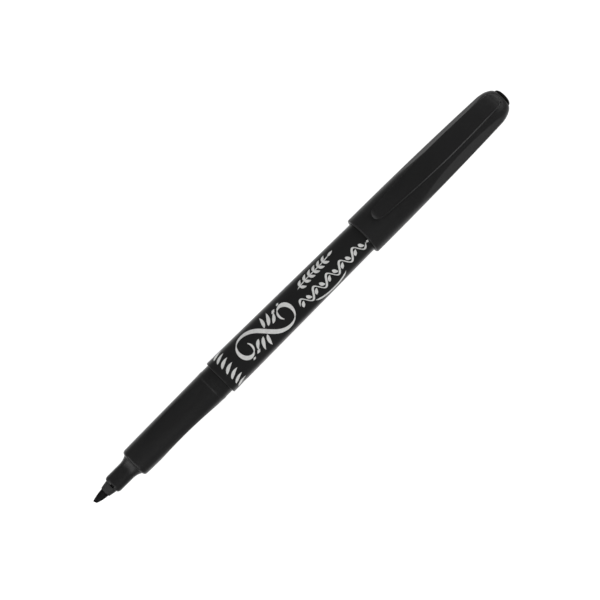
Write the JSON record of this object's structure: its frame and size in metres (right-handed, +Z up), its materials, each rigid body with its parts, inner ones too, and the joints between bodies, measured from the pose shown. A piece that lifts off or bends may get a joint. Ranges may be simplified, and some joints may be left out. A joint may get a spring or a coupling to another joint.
{
  "type": "calligraphy marker",
  "caption": "Slim black marker: slanted fibre nib in a vented sleeve, grip with finger flats, tapered barrel, and a cap with a pocket clip posted on the tail.",
  "frame": {"origin": "centre of the bounding box's base, under the marker as it lies with its clip up", "axes": "+X along the marker towards the cap's closed end, +Z up through the pocket clip, +Y across"},
  "size_m": [0.1606, 0.012, 0.0131],
  "materials": {
    "nib_fibre": "bonded fibre, ink soaked",
    "sleeve_plastic": "fine matte",
    "grip_plastic": "fine matte",
    "barrel_plastic": "satin",
    "print_ink": "white pad-printed ink",
    "reservoir_fibre": "fibre filler, ink soaked",
    "clear_film": "thin film",
    "plug_plastic": "matte",
    "cap_plastic": "fine spark-eroded matte",
    "liner_plastic": "natural moulded",
    "end_plug_plastic": "smooth",
    "clip_plastic": "fine spark-eroded matte"
  },
  "bodies": {
    "barrel": {"barrel": "barrel_plastic", "grip_section": "grip_plastic", "nib_sleeve": "sleeve_plastic", "nib": "nib_fibre", "ink_reservoir": "reservoir_fibre", "reservoir_film": "clear_film", "tail_plug": "plug_plastic"},
    "cap": {"cap_shell": "cap_plastic", "cap_liner": "liner_plastic", "cap_end_plug": "end_plug_plastic"},
    "clip": {"pocket_clip": "clip_plastic"}
  },
  "joints": [
    {"name": "cap_slide", "type": "slide", "parent": "barrel", "child": "cap", "axis": [1, 0, 0], "range_m": [0, 0.045]},
    {"name": "clip_flex", "type": "hinge", "parent": "cap", "child": "clip", "pos_m": [0.0771, 0, 0.0099], "axis": [0, 1, 0], "range_deg": [0, 3], "stiffness_Nm_per_rad": 1.2}
  ]
}
